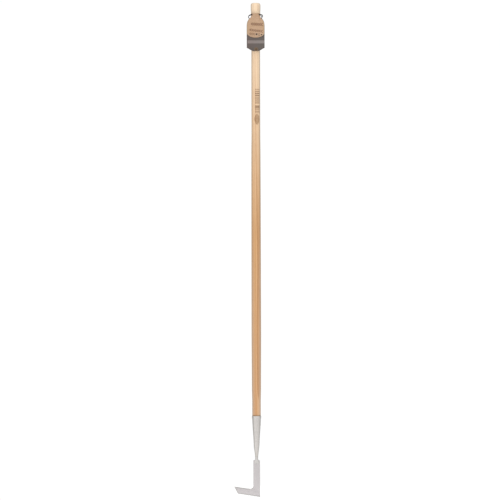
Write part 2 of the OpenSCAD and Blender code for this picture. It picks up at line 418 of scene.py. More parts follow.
def burnt_ornament(g, place):
    """Mask of the mark burnt into the handle, right of the front: bars, a hatched panel and a leaf."""
    parts = g.split(place)
    turn = around_handle(g, parts)
    arc = g.times(g.minus(turn, math.radians(24)), GRIP_RADIUS * MM)
    flat = g.join(arc, 0.0, parts["Z"])

    def bar(centre, half):
        return g.use(INKED_BAR, Vector=flat, Centre=(0, 0, height(centre)), Half_Width=8 * MM,
                     Half_Height=half * MM, Edge=0.8 * MM)["Mask"]

    mark = 0.0
    bars = [(1278.4, 1.6, 0.7), (1272.2, 1.9, 0.85), (1265.9, 2.0, 1.0), (1259.6, 2.0, 1.0),
            (1224, 4.2, 0.95), (1209.5, 1.6, 0.8)]
    for centre, half, depth in bars:
        mark = g.most(mark, g.times(bar(centre, half), depth))
    for centre, half in ((1244.5, 11.5), (1216, 3.2), (1205.4, 1.6)):
        panel = bar(centre, half)
        hatch = g.sine(g.times(g.plus(arc, parts["Z"]), 2 * math.pi / (2.2 * MM)))
        lines = g.ramp(hatch, -0.5, 0.5, 0.3, 0.8)
        mark = g.most(mark, g.times(panel, lines))
    leaf_arc = g.absolute(g.plus(arc, 1.8 * MM))
    leaf_z = g.over(g.minus(parts["Z"], height(1185)), 18 * MM)
    rounded = g.minus(1.0, g.times(leaf_z, leaf_z), clamp=True)
    half_leaf = g.times(g.math("POWER", rounded, 0.8), 9 * MM)
    leaf = g.ramp(g.minus(half_leaf, leaf_arc), 0.0, 0.7 * MM)
    vein_run = g.minus(parts["Z"], leaf_arc)
    veins = g.ramp(g.sine(g.times(vein_run, 2 * math.pi / (4.2 * MM))), 0.75, 0.95)
    spine = g.ramp(leaf_arc, 0.7 * MM, 0.3 * MM)
    cut = g.times(g.most(veins, spine), 0.55)
    mark = g.most(mark, g.times(leaf, g.minus(0.95, cut)))
    front = g.math("LESS_THAN", parts["Y"], 0.004)
    return g.times(mark, front)


def lacquered_ash():
    """Pale ash at the top that deepens to tan lower down, ring-porous, under thin satin lacquer."""
    material, g, shader = new_material(
        "lacquered_ash", IOR=1.45, Coat_Weight=0.3, Coat_Roughness=0.3)
    place = g.place()
    early, late, pores = ash_rings(g, place)
    level = g.split(place)["Z"]
    down = g.ramp(level, height(1560), height(250), smooth=False)
    pale = g.mix(g.ramp(down, 0.0, 0.56, smooth=False), srgb(255, 230, 199), srgb(211, 159, 101))
    tone = g.mix(g.ramp(down, 0.55, 1.0, smooth=False), pale, srgb(202, 150, 101))
    ringed = g.tint(tone, srgb(176, 122, 74), early, 0.34)
    ringed = g.tint(ringed, srgb(250, 219, 180), late, 0.30)
    streaks = g.noise(g.vector("MULTIPLY", place, (420.0, 420.0, 3.2)), 1.0, 3, 0.6)
    streaked = g.mix(g.ramp(streaks, 0.5, 0.75, 0.0, 0.28), ringed, srgb(183, 131, 86))
    pored = g.tint(streaked, srgb(120, 78, 46), pores, 0.5)
    handled = g.use(BLOTCHES, Vector=place, Size=0.05, Sharpness=0.3)["Mask"]
    handled = g.tint(pored, srgb(176, 128, 88), handled, 0.10)
    # painted shade: the wood colour is darkened and cooled towards the handle's silhouette, from whichever
    # side it is seen
    angle = g.feed(g.node("ShaderNodeLayerWeight"), Blend=0.5)
    grazing = g.plus(angle.outputs["Facing"], g.times(streaks, 0.1))
    rim = g.times(g.ramp(grazing, 0.28, 0.72), 0.9)
    shaded = g.mix(rim, handled, (0.74, 0.80, 0.86, 1), "MULTIPLY")
    # painted sheen: towards the silhouette, and more strongly lower down, the colour is paled towards a grey
    # beige, standing in for the reflection of the white studio
    painted_sheen = g.times(g.ramp(grazing, 0.04, 0.36), g.ramp(down, 0.4, 0.8, 0.06, 0.34))
    sheened = g.mix(painted_sheen, shaded, srgb(214, 194, 174))
    # painted shade: a dark band on the wood just above the socket's rim, where the rim shades it
    foot = g.ramp(level, height(259.5), height(254.5))
    mouth_shaded = g.tint(sheened, srgb(110, 84, 60), foot, 0.55)
    burn = burnt_ornament(g, place)
    uneven = g.ramp(g.noise(place, 380.0, 3, 0.6), 0.3, 0.7, 0.72, 1.0)
    burn = g.times(burn, uneven)
    char = g.mix(g.ramp(level, height(1206), height(1200)), srgb(118, 78, 48), srgb(130, 84, 34))
    g.wire(g.mix(g.times(burn, 0.8), mouth_shaded, char), shader["Base Color"])
    polish = g.plus(0.46, g.times(pores, 0.25))
    g.wire(g.plus(polish, g.times(burn, 0.2)), shader["Roughness"])
    relief = g.times(pores, -0.6)
    relief = g.minus(relief, g.times(early, 0.1))
    relief = g.minus(relief, burn)
    g.wire(g.bump(relief, 0.12 * MM, 0.6), shader["Normal"])
    return material


def around_handle(g, parts):
    """Angle about the handle's axis in radians, from the front towards the right."""
    return g.math("ARCTAN2", parts["X"], g.times(parts["Y"], -1.0))


def finish_steel(g, shader, lines, marks, roughness):
    """Roughness and relief that belt lines and handling marks give to steel."""
    rough = g.plus(roughness, g.times(lines["Shade"], 0.14))
    g.wire(g.plus(rough, g.times(marks, 0.06)), shader["Roughness"])
    g.wire(g.bump(lines["Height"], 0.02 * MM, 0.5), shader["Normal"])


def turned_steel():
    """Stainless polished on a belt while it turned, for the socket, the screw and the socket's weld."""
    material, g, shader = new_material("turned_stainless", Metallic=1.0)
    place = g.place()
    parts = g.split(place)
    around = g.join(parts["Z"], 0.0, g.times(around_handle(g, parts), SOCKET_RADIUS * MM))
    lines = g.use(BRUSHING, Vector=around, Line_Width=0.22 * MM, Line_Length=6 * MM)
    marks = g.use(BLOTCHES, Vector=place, Size=0.018, Sharpness=0.25)["Mask"]
    tone = g.mix(lines["Shade"], srgb(196, 192, 189), srgb(216, 212, 209))
    tone = g.tint(tone, srgb(196, 194, 192), marks, 0.25)
    heat = g.ramp(parts["Z"], height(150), height(137))
    tone = g.tint(tone, srgb(188, 182, 172), heat, 0.25)
    g.wire(tone, shader["Base Color"])
    finish_steel(g, shader, lines, marks, 0.42)
    return material


def ground_steel(name, light, dark, run, roughness):
    """Stainless ground flat. run turns the belt lines about the axis that faces the front, in degrees."""
    material, g, shader = new_material(name, Metallic=1.0)
    place = g.place()
    turned = g.feed(g.node("ShaderNodeMapping"), Vector=place, Rotation=(0, math.radians(run), 0))
    lines = g.use(BRUSHING, Vector=turned.outputs[0], Line_Width=0.25 * MM, Line_Length=16 * MM)
    marks = g.use(BLOTCHES, Vector=place, Size=0.015, Sharpness=0.3)["Mask"]
    tone = g.mix(lines["Shade"], dark, light)
    g.wire(g.tint(tone, dark, marks, 0.2), shader["Base Color"])
    finish_steel(g, shader, lines, marks, roughness)
    return material


def start_card(name, roughness, fibre_length):
    """A card's material, graph, shader inputs and place, with its fibres and its soft marks."""
    material, g, shader = new_material(name, Roughness=roughness)
    place = g.place()
    fibres = g.use(FIBRES, Vector=place, Fibre_Length=fibre_length * MM)
    marks = g.use(BLOTCHES, Vector=place, Size=0.02, Sharpness=0.3)["Mask"]
    return material, g, shader, place, fibres, marks


def kraft_card():
    """Brown uncoated card, mottled, with three darker printed leaf rows and three small flowers."""
    material, g, shader, place, fibres, marks = start_card("printed_kraft", 0.82, 1.3)
    paper = g.mix(marks, srgb(204, 171, 143), srgb(192, 157, 126))
    mottle = g.use(BLOTCHES, Vector=place, Size=3.2 * MM, Sharpness=0.14)["Mask"]
    paper = g.tint(paper, srgb(168, 133, 101), mottle, 0.42)
    # painted shade: the label greys and darkens towards its side edges
    sides = g.ramp(g.absolute(g.split(place)["X"]), 17 * MM, 27 * MM, 0.0, 0.45)
    paper = g.mix(sides, paper, srgb(182, 158, 126))
    foot = g.ramp(g.split(place)["Z"], height(1462), height(1441), 0.0, 0.35)
    paper = g.mix(foot, paper, srgb(168, 140, 116))
    paper = g.tint(paper, srgb(136, 98, 70), fibres["Flecks"], 0.45)
    ink = 0.0
    rows = [((2, 1482.4), 18, 5.2, 6.2, -0.06, 1.0), ((-1, 1462.6), 20, 4.4, 7, -0.13, 0.9),
            ((-5, 1451.6), 15, 4.6, 5.6, -0.08, 0.75)]
    for centre, half_width, half_height, pitch, slant, strength in rows:
        row = g.use(LEAF_ROW, Vector=place, Centre=(centre[0] * MM, 0, height(centre[1])),
                    Half_Width=half_width * MM, Half_Height=half_height * MM, Pitch=pitch * MM,
                    Slant=slant)["Mask"]
        ink = g.most(ink, g.times(row, strength))
    printed = g.tint(paper, srgb(112, 76, 54), ink, 0.85)
    for x, level, radius in ((2.9, 1451.0, 6.4), (18.4, 1449.6, 5.4), (10.6, 1446.4, 3.4)):
        flower = g.use(DAISY, Vector=place, Centre=(x * MM, 0, height(level)), Radius=radius * MM)
        printed = g.tint(printed, srgb(206, 180, 156), flower["Petals"], 0.4)
        printed = g.mix(flower["Eye"], printed, srgb(40, 26, 20))
    g.wire(printed, shader["Base Color"])
    g.wire(g.bump(fibres["Height"], 0.03 * MM, 0.5), shader["Normal"])
    return material


def dark_card():
    """Dark printed card with one lighter band and a small tan flower emblem low down."""
    material, g, shader, place, fibres, marks = start_card("dark_printed_card", 0.62, 1.0)
    ground = g.mix(marks, srgb(101, 90, 87), srgb(94, 88, 82))
    ground = g.tint(ground, srgb(126, 116, 110), fibres["Flecks"], 0.2)
    band = g.use(INKED_BAR, Vector=place, Centre=(1.5 * MM, 0, height(1427)), Half_Width=26.5 * MM,
                 Half_Height=4.6 * MM, Edge=1.2 * MM)["Mask"]
    ground = g.tint(ground, srgb(143, 134, 131), band, 0.85)
    sprig = g.use(LEAF_ROW, Vector=place, Centre=(1.5 * MM, 0, height(1427)), Half_Width=24 * MM,
                  Half_Height=2.6 * MM, Pitch=4.8 * MM, Slant=0.0)["Mask"]
    ground = g.tint(ground, srgb(120, 110, 106), sprig, 0.35)
    emblem = g.use(DAISY, Vector=place, Centre=(1.6 * MM, 0, height(1403.8)), Radius=7.6 * MM)
    ground = g.tint(ground, srgb(120, 94, 64), emblem["Petals"], 0.8)
    ground = g.tint(ground, srgb(84, 60, 38), emblem["Eye"], 0.7)
    parts = g.split(place)
    warmth = g.ramp(parts["X"], 14 * MM, -26 * MM, 0.0, 0.5)
    ground = g.mix(warmth, ground, (1.0, 0.88, 0.88, 1), "MULTIPLY")
    # painted shade: the card is darkened towards its lower edge
    foot = g.ramp(parts["Z"], height(1414), height(1399), 0.0, 0.7)
    ground = g.mix(foot, ground, (0.74, 0.74, 0.72, 1), "MULTIPLY")
    g.wire(ground, shader["Base Color"])
    g.wire(g.bump(fibres["Height"], 0.02 * MM, 0.4), shader["Normal"])
    return material


def braided_elastic():
    """Dark braided sleeve; the weave attribute is high on the crossings and low between them, and the colour
    is darkened between the crossings as painted shade.
    """
    material, g, shader = new_material("braided_elastic", Roughness=0.75, Sheen_Weight=0.25)
    weave = g.node("ShaderNodeAttribute", attribute_name="weave").outputs["Fac"]
    lint = g.noise(g.place(), 5200.0, 3, 0.6)
    # painted shade: the hollows between the crossings are coloured darker than the crossings
    crevice_shaded = g.mix(weave, srgb(24, 20, 17), srgb(56, 47, 40))
    g.wire(g.mix(g.ramp(lint, 0.55, 0.75, 0.0, 0.25), crevice_shaded, srgb(92, 78, 66)), shader["Base Color"])
    g.wire(g.bump(lint, 0.05 * MM, 0.4), shader["Normal"])
    return material


# ---- mesh helpers

def fill_mesh(mesh, bm, sharp):
    """Puts a bmesh into a mesh: smooth faces, and sharp edges where it bends more than sharp degrees."""
    bm.to_mesh(mesh)
    bm.free()
    mesh.polygons.foreach_set("use_smooth", [True] * len(mesh.polygons))
    mesh.set_sharp_from_angle(angle=math.radians(sharp))
    return mesh


def link_mesh(name, bm, sharp=40):
    """Turns a bmesh into an object in the scene."""
    return put(name, fill_mesh(bpy.data.meshes.new(name), bm, sharp))


def clean(bm):
    """Joins doubled points, drops faces without area and turns the faces outward."""
    bmesh.ops.remove_doubles(bm, verts=bm.verts, dist=1e-6)
    bmesh.ops.dissolve_degenerate(bm, edges=bm.edges, dist=1e-7)
    bmesh.ops.recalc_face_normals(bm, faces=bm.faces)


def flatten(piece):
    """Replaces a piece's mesh with the result of its modifiers, which are then removed."""
    evaluated = piece.evaluated_get(bpy.context.evaluated_depsgraph_get())
    made = bpy.data.meshes.new_from_object(evaluated)
    piece.modifiers.clear()
    piece.data = made


def settle(piece, body, slot, *nodes, materials=()):
    """Gives a finished piece its materials, puts it on the body it rides on and hides the CAD nodes it stands
    for.
    """
    for material in materials:
        piece.data.materials.append(material)
    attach(piece, body)
    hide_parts(*nodes)


def eased(points, x):
    """Smooth value at x through points sorted by x, with no overshoot."""
    if x <= points[0][0]:
        return points[0][1]
    if x >= points[-1][0]:
        return points[-1][1]
    slopes = [(b[1] - a[1]) / (b[0] - a[0]) for a, b in zip(points, points[1:])]

    def tangent(i):
        if i == 0 or i == len(points) - 1:
            return slopes[min(i, len(slopes) - 1)]
        if slopes[i - 1] * slopes[i] <= 0:
            return 0.0
        return 2 * slopes[i - 1] * slopes[i] / (slopes[i - 1] + slopes[i])

    i = max(k for k in range(len(points) - 1) if points[k][0] <= x)
    span = points[i + 1][0] - points[i][0]
    t = (x - points[i][0]) / span
    low, high = points[i][1], points[i + 1][1]
    return (
        low * (2 * t ** 3 - 3 * t ** 2 + 1) + high * (3 * t ** 2 - 2 * t ** 3)
        + tangent(i) * span * (t ** 3 - 2 * t ** 2 + t) + tangent(i + 1) * span * (t ** 3 - t ** 2)
    )


def steps(start, end, count):
    """Evenly spaced values from start to end, both included."""
    return [start + (end - start) * i / count for i in range(count + 1)]


def skin(bm, rings, closed_ends=True):
    """Joins rings of points with quads; each ring is a closed loop of the same number of points."""
    rows = [[bm.verts.new(p) for p in ring] for ring in rings]
    count = len(rings[0])
    for low, high in zip(rows, rows[1:]):
        for k in range(count):
            bm.faces.new((low[k], low[(k + 1) % count], high[(k + 1) % count], high[k]))
    if closed_ends:
        bm.faces.new(rows[0][::-1])
        bm.faces.new(rows[-1])
    return rows


def turns(count):
    """Angles of so many points spaced evenly round a circle."""
    return [2 * math.pi * k / count for k in range(count)]


def circle(radius, level, sides, wide=1.0, thick=1.0, squareness=2.0):
    """A ring of points about the handle's axis, stretched and squared off as asked, in metres."""
    ring = []
    for turn in turns(sides):
        c, s = math.cos(turn), math.sin(turn)
        x = math.copysign(abs(c) ** (2 / squareness), c) * radius * wide
        y = math.copysign(abs(s) ** (2 / squareness), s) * radius * thick
        ring.append(Vector((x * MM, y * MM, height(level))))
    return ring


# ---- the tool

KNOB_TOP = 1550
KNOB_RADIUS = 15.2
KNOB_EDGE = 7           # height of the rounded edge
KNOB_FLAT = 7.2         # radius of the flat on top
HANDLE_OUTLINE = [
    (166, 5.7), (168, 6.9), (178, 7.95), (194, 8.95), (210, 10.05), (226, 11.05), (242, 11.85),
    (250, 12.6), (254, 13.2), (300, 13.3), (340, 14.1), (400, 14.4), (520, 14.9), (800, 14.6),
    (1080, 14.1), (1140, GRIP_RADIUS), (1400, GRIP_RADIUS), (1522, 14.6), (1528, KNOB_RADIUS),
    (1543, KNOB_RADIUS)
]

SOCKET_OUTLINE = [
    (139, 6.2), (147, 7.4), (153, 8.1), (163, 8.9), (178, 9.5), (194, 10.5), (210, 11.6),
    (226, 12.6), (242, 13.4), (248, 14.1), (254, 14.8)
]
SHEET = 1.5             # thickness of the rolled sheet
SEAM_FOOT = 150         # where the sheet's edges begin to part
MOUTH = 253.2           # where the rounded rim begins
NECK_RADIUS = 4.5


def ash_handle():
    """The turned handle, from its tapered end in the socket to its rounded knob."""
    sides = 96
    levels = [166, 167] + steps(168, 254, 22) + steps(257, 1520, 300) + steps(1521, 1543, 14)
    rings = [circle(eased(HANDLE_OUTLINE, z), z, sides) for z in levels]
    for turn in steps(6, 90, 14):
        radius = KNOB_FLAT + (KNOB_RADIUS - KNOB_FLAT) * math.cos(math.radians(turn))
        level = KNOB_TOP - KNOB_EDGE + KNOB_EDGE * math.sin(math.radians(turn))
        rings.append(circle(radius, level, sides))
    bm = bmesh.new()
    skin(bm, rings)
    clean(bm)
    handle = link_mesh("ash_handle_turned", bm)
    settle(handle, "root", "ash", "ash_handle", materials=[lacquered_ash()])


def handle_socket(steel):
    """Sheet rolled to a cone: the edges meet at the foot, leave a seam above it and flare at the mouth."""
    sides = 96
    levels = steps(139, 150, 6) + steps(151.5, 156, 3) + steps(158, MOUTH, 60)

    def half_gap(level):
        return 0.6 * min(1, max(0, level - SEAM_FOOT) / 6)

    def row(radius, level):
        start = half_gap(level) / radius
        turns = steps(start, 2 * math.pi - start, sides)
        return [Vector((radius * math.sin(a) * MM, radius * math.cos(a) * MM, height(level))) for a in turns]

    outer = [row(eased(SOCKET_OUTLINE, z), z) for z in levels]
    inner = [row(eased(SOCKET_OUTLINE, z) - SHEET, z) for z in levels]
    rim_radius = eased(SOCKET_OUTLINE, MOUTH) - SHEET / 2
    rim = [row(rim_radius + SHEET / 2 * math.cos(a), MOUTH + 0.8 * math.sin(a))
           for a in (math.radians(turn) for turn in (30, 60, 90, 120, 150))]
    bm = bmesh.new()
    loop = outer + rim + inner[::-1]
    rows = [[bm.verts.new(p) for p in line] for line in loop]
    for k, low in enumerate(rows):
        high = rows[(k + 1) % len(rows)]
        for i in range(sides):
            bm.faces.new((low[i], low[i + 1], high[i + 1], high[i]))
    last = len(rows) - 1
    for end in (0, sides):
        for k in range(len(levels) - 1):
            if half_gap(levels[k + 1]) > 0:
                bm.faces.new((rows[k][end], rows[k + 1][end], rows[last - k - 1][end], rows[last - k][end]))
        bm.faces.new([rows[k][end] for k in range(len(levels) - 1, len(levels) + len(rim) + 1)])
    clean(bm)
    socket = link_mesh("rolled_socket", bm, 45)
    settle(socket, "root", "stainless", "handle_socket", materials=[steel])


def socket_weld(steel):
    """The ground bead between the socket's foot and the neck: a smooth taper with faint ripples."""
    outline = [(124, 4.56), (127, 4.8), (131, 5.15), (135, 5.55), (139, 6.2)]
    rings = [circle(NECK_RADIUS, 124, 96)]
    for k, z in enumerate(steps(124, 139, 30)):
        ripple = 0.05 * math.sin(k * math.pi / 2) if 4 < k < 29 else 0
        rings.append(circle(eased(outline, z) + ripple, z, 96))
    rings.append(circle(NECK_RADIUS, 139, 96))
    bm = bmesh.new()
    rows = skin(bm, rings, closed_ends=False)
    for k in range(96):
        bm.faces.new((rows[-1][k], rows[-1][(k + 1) % 96], rows[0][(k + 1) % 96], rows[0][k]))
    clean(bm)
    weld = link_mesh("ground_socket_weld", bm)
    settle(weld, "root", "stainless", "socket_weld", materials=[steel])


NECK_WIDE = [(103.6, 6.6), (105, 7.5), (110, 6.5), (116, 4.9), (120, NECK_RADIUS)]
NECK_THICK = [(103.6, 1.52), (105, 1.85), (110, 2.6), (116, 3.9), (120, NECK_RADIUS)]
NECK_SQUARE = [(103.6, 3.4), (110, 2.8), (120, 2.0)]


def neck_rod(steel):
    """The round neck, forged out to a thin fan where it lies on the blade."""
    sides = 64
    levels = steps(103.6, 105, 4) + steps(105.5, 121, 40) + steps(122, 157, 12) + [157.6, 158]
    rings = []
    for z in levels:
        radius = 1 - 0.1 * max(0, (z - 157) / 1) ** 2
        shape = [eased(outline, z) for outline in (NECK_WIDE, NECK_THICK, NECK_SQUARE)]
        rings.append(circle(radius, z, sides, *shape))
    bm = bmesh.new()
    skin(bm, rings)
    clean(bm)
    neck = link_mesh("forged_neck", bm)
    settle(neck, "root", "stainless", "neck_rod", materials=[steel])


def start_line_tree(name, inputs, step):
    """A geometry node tree that spaces points along a line by its input called step: graph, inputs, curve."""
    tree = bpy.data.node_groups.new(name, "GeometryNodeTree")
    tree.interface.new_socket("Geometry", in_out="INPUT", socket_type="NodeSocketGeometry")
    for label, value in inputs:
        tree.interface.new_socket(label, in_out="INPUT", socket_type="NodeSocketFloat").default_value = value
    tree.interface.new_socket("Geometry", in_out="OUTPUT", socket_type="NodeSocketGeometry")
    g = Graph(tree)
    given = g.node("NodeGroupInput").outputs
    line = g.feed(g.node("GeometryNodeMeshToCurve"), Mesh=given["Geometry"])
    spaced = g.node("GeometryNodeResampleCurve", mode="LENGTH")
    return g, given, g.feed(spaced, Curve=line.outputs[0], Length=given[step]).outputs[0]


def end_line_tree(g, geometry, material):
    """Makes a tree's geometry real, gives it its material and returns the finished tree."""
    real = g.node("GeometryNodeRealizeInstances")
    g.wire(geometry, real.inputs[0])
    painted = g.feed(g.node("GeometryNodeSetMaterial"), Material=material, Geometry=real.outputs[0])
    g.wire(painted.outputs[0], g.node("NodeGroupOutput").inputs["Geometry"])
    return g.tree


def bead_tree(steel):
    """Geometry nodes: lays overlapping flattened drops of weld along a line."""
    inputs = [("Drop Radius", 0.7 * MM), ("Drop Pitch", 0.55 * MM), ("Flatness", 0.6)]
    g, given, points = start_line_tree("weld_bead", inputs, "Drop Pitch")
    drop = g.feed(g.node("GeometryNodeMeshIcoSphere"), Subdivisions=2, Radius=given["Drop Radius"])
    laid = g.feed(g.node("GeometryNodeInstanceOnPoints"), Points=points, Instance=drop.outputs["Mesh"],
                  Scale=g.join(1.0, given["Flatness"], 1.0))
    return end_line_tree(g, laid.outputs[0], steel)


def grow(piece, tree, **values):
    """Runs a geometry node tree on a piece with its named inputs set, and keeps the plain result."""
    modifier = piece.modifiers.new(tree.name, "NODES")
    modifier.node_group = tree
    sockets = {s.name: s.identifier for s in tree.interface.items_tree if s.in_out == "INPUT"}
    for key, value in values.items():
        modifier[sockets[key.replace("_", " ")]] = value
    flatten(piece)


def blade_weld(steel):
    """Fillets between neck and shoulders, and the bead round the fan on both of the blade's faces."""
    bm = bmesh.new()
    face = 1.55 * MM
    for side in (-1, 1):
        for front in (-1, 1):
            points = []
            for z in steps(115.2, 104.6, 8):
                points.append(Vector((side * eased(NECK_WIDE, z) * MM, front * face, height(z))))
            for x in steps(6.2, 0.0, 4):
                points.append(Vector((side * x * MM, front * face, height(103.9))))
            line = [bm.verts.new(p) for p in points]
            for a, b in zip(line, line[1:]):
                bm.edges.new((a, b))
    beads = link_mesh("ground_blade_weld", bm)
    grow(beads, bead_tree(steel), Drop_Radius=0.62 * MM, Drop_Pitch=0.5 * MM, Flatness=0.55)
    bm = bmesh.new()
    bm.from_mesh(beads.data)
    for side in (-1, 1):
        rings = []
        for y in steps(-1.45, 1.45, 6):
            root_x = eased(NECK_WIDE, 115.5) - 0.5
            swell = 0.25 * (1 - (y / 1.5) ** 2)
            corner = [(root_x, 114.8), (root_x + 4.2, 114.8), (root_x + 4.2, 115.55)]
            curve = [(root_x + 4.0 - 3.6 * math.sin(math.radians(a)) + swell,
                      115.55 + 3.4 * (1 - math.cos(math.radians(a))) + swell) for a in (15, 35, 55, 75, 90)]
            shape = corner + curve + [(root_x, 118.9)]
            rings.append([Vector((side * x * MM, y * MM, height(z))) for x, z in shape])
        skin(bm, rings)
    bmesh.ops.recalc_face_normals(bm, faces=bm.faces)
    fill_mesh(beads.data, bm, 50)
    settle(beads, "root", "stainless", "blade_weld")


def l_blade():
    """The flat L with softened edges; its ground bevels and cut sides have finishes of their own."""
    face = ground_steel("ground_face", srgb(208, 203, 204), srgb(191, 187, 188), 0, 0.32)
    bevel = ground_steel("ground_bevel", srgb(196, 193, 193), srgb(172, 170, 169), 52, 0.28)
    side = ground_steel("cut_side", srgb(196, 194, 192), srgb(168, 166, 164), 90, 0.4)
    bm = bmesh.new()
    bm.from_mesh(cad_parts["l_blade"].data)
    bmesh.ops.remove_doubles(bm, verts=bm.verts, dist=1e-6)
    bmesh.ops.dissolve_limit(bm, angle_limit=math.radians(1), verts=bm.verts, edges=bm.edges)
    for polygon in bm.faces:
        facing = abs(polygon.normal.y)
        polygon.material_index = 0 if facing > 0.98 else 1 if facing > 0.3 else 2
    edges = [e for e in bm.edges if e.calc_face_angle(0) > math.radians(20)]
    bmesh.ops.bevel(bm, geom=edges, offset=0.22 * MM, segments=2, profile=0.5, affect="EDGES", material=2)
    bmesh.ops.triangulate(bm, faces=[f for f in bm.faces if len(f.verts) > 4])
    sweep = Vector((1, 31, 977))        # sorts the faces, so that they come in the same order each time
    bm.faces.sort(key=lambda f: f.calc_center_median().dot(sweep))
    bmesh.ops.recalc_face_normals(bm, faces=bm.faces)
    blade = link_mesh("hooked_blade", bm, 25)
    settle(blade, "root", "stainless", "l_blade", materials=[face, bevel, side])


def socket_screw(steel):
    """A pan-head screw with a cross recess, at the back of the socket."""
    turn = math.radians(50)
    axis = Vector((math.sin(turn), math.cos(turn), 0))
    seat = 12.85
    outline = [(1.9, -13), (1.95, 0), (4.0, 0), (4.0, 0.45), (3.9, 0.95), (3.6, 1.4), (3.0, 1.8),
               (2.1, 2.08), (1.0, 2.2)]
    bm = bmesh.new()
    rings = []
    for radius, level in outline:
        rings.append([Vector((radius * math.cos(t) * MM, radius * math.sin(t) * MM, level * MM))
                      for t in turns(48)])
    skin(bm, rings)
    clean(bm)
    screw = link_mesh("cross_head_screw", bm, 35)
    cutter_bm = bmesh.new()
    for size in ((4.4, 0.8), (0.8, 4.4)):
        bmesh.ops.create_cube(cutter_bm, size=MM, matrix=Matrix.Translation((0, 0, 2.1 * MM))
                              @ Matrix.Diagonal((size[0], size[1], 2.4, 1)))
    cutter = link_mesh("recess_cutter", cutter_bm)
    cut = screw.modifiers.new("recess", "BOOLEAN")
    cut.object = cutter
    cut.operation = "DIFFERENCE"
    cut.use_self = True
    flatten(screw)
    bpy.data.objects.remove(cutter)
    stand = axis.to_track_quat("Z", "Y").to_matrix().to_4x4()
    screw.data.transform(Matrix.Translation(axis * seat * MM + Vector((0, 0, height(226)))) @ stand)
    settle(screw, "root", "stainless", "socket_screw", materials=[steel])


# ---- the tag and its cord

TAG_TOP = 1516.6
HOLE_X = 12.6
SWING_Y = -17.6
SWING_LEVEL = 1512.6
CORD_WIDTH = 2.5
KNOT_Y = -22.3
CORD_ROUTE = [
    (-14, -17.6, 0), (-17, -17.6, -0.7), (-20.2, -16.4, -2.6), (-22, -13.2, -5.2),
    (-22.2, -8.8, -7.6), (-21.4, -4.4, -9.8), (-19.6, 0.4, -11.6), (-17.3, 5.2, -13.2),
    (-14, 9.6, -14.8), (-9.4, 13.3, -16), (-3.4, 15.8, -16.8), (3, 15.8, -16.8),
    (9.2, 13.4, -16.2), (13.9, 9.4, -15), (16.8, 4.6, -13.4), (18.3, -0.4, -11.4),
    (19.5, -5, -9.2), (20.7, -9.4, -6.6), (21.6, -13.2, -3.8), (20.6, -16.4, -1.2),
    (17.4, -17.6, 0), (14, -17.6, 0)
]


def smooth_line(points, per_span):
    """Points along a smooth curve through the given ones."""
    last = len(points) - 1
    line = []
    for i in range(last):
        a, b, c, d = (points[min(max(i + k, 0), last)] for k in (-1, 0, 1, 2))
        for k in range(per_span):
            t = k / per_span
            line.append(0.5 * (2 * b + (c - a) * t + (2 * a - 5 * b + 4 * c - d) * t ** 2
                               + (3 * b - a - 3 * c + d) * t ** 3))
    return line + [points[-1]]


def wire_mesh(name, lines):
    """A mesh of bare edges along lines, each (points, closed)."""
    bm = bmesh.new()
    for points, closed in lines:
        verts = [bm.verts.new(p) for p in points]
        for a, b in zip(verts, verts[1:] + (verts[:1] if closed else [])):
            bm.edges.new((a, b))
    mesh = bpy.data.meshes.new(name)
    bm.to_mesh(mesh)
    bm.free()
    return put(name, mesh)


def braid_tree(elastic):
    """Geometry nodes: a round cord along a line, its surface raised into two crossing sets of strands."""
    inputs = [("Radius", 1.1 * MM), ("Strand Pitch", 2.6 * MM), ("Strands", 8.0), ("Relief", 0.12 * MM),
              ("Step", 0.3 * MM)]
    g, given, points = start_line_tree("braided_cord", inputs, "Step")

    def kept(geometry, value):
        capture = g.node("GeometryNodeCaptureAttribute", domain="POINT")
        capture.capture_items.new("FLOAT", "Kept")
        g.wire(geometry, capture.inputs[0])
        g.wire(value, capture.inputs[1])
        return capture.outputs[0], capture.outputs[1]

    run, far = kept(points, g.node("GeometryNodeSplineParameter").outputs["Length"])
    ring = g.node("GeometryNodeCurvePrimitiveCircle", mode="RADIUS")
    g.feed(ring, Resolution=32, Radius=g.minus(given["Radius"], given["Relief"]))
    loop, turn = kept(ring.outputs["Curve"], g.node("GeometryNodeSplineParameter").outputs["Factor"])
    swept = g.feed(g.node("GeometryNodeCurveToMesh"), Fill_Caps=True, Curve=run, Profile_Curve=loop)
    around = g.times(g.times(turn, given["Strands"]), math.pi)
    along = g.times(g.over(far, given["Strand Pitch"]), 2 * math.pi)
    one = g.absolute(g.sine(g.plus(around, along)))
    other = g.absolute(g.sine(g.minus(around, along)))
    weave = g.most(one, other)
    push = g.node("ShaderNodeVectorMath", operation="SCALE")
    g.wire(g.node("GeometryNodeInputNormal").outputs[0], push.inputs[0])
    g.wire(g.times(weave, given["Relief"]), push.inputs["Scale"])
    # the stored weave attribute lets the material paint shade into the hollows between the crossings
    stored = g.node("GeometryNodeStoreNamedAttribute", data_type="FLOAT", domain="POINT")
    g.feed(stored, Name="weave", Geometry=swept.outputs[0],
           Value=g.times(g.minus(weave, 0.7), 3.3, clamp=True))
    moved = g.feed(g.node("GeometryNodeSetPosition"), Geometry=stored.outputs[0], Offset=push.outputs[0])
    return end_line_tree(g, moved.outputs[0], elastic)


TAILS = {       # the cut ends below the left and the right knot, from the knot's middle
    -1: [(-0.6, 0, -0.3), (-3.2, -0.3, -1.9), (-5.4, -0.3, -3.2), (-6.8, -0.2, -4)],
    1: [(0.6, 0, -0.6), (3.3, -0.2, -1.9), (5.5, -0.2, -4.2), (6.4, 0, -7.6), (6.4, 0.1, -11.4)]
}


def tag_place(x, y, above):
    """A place on the tag or its cord, in millimetres, its height counted from the swing axis."""
    return Vector((x * MM, y * MM, height(SWING_LEVEL + above)))


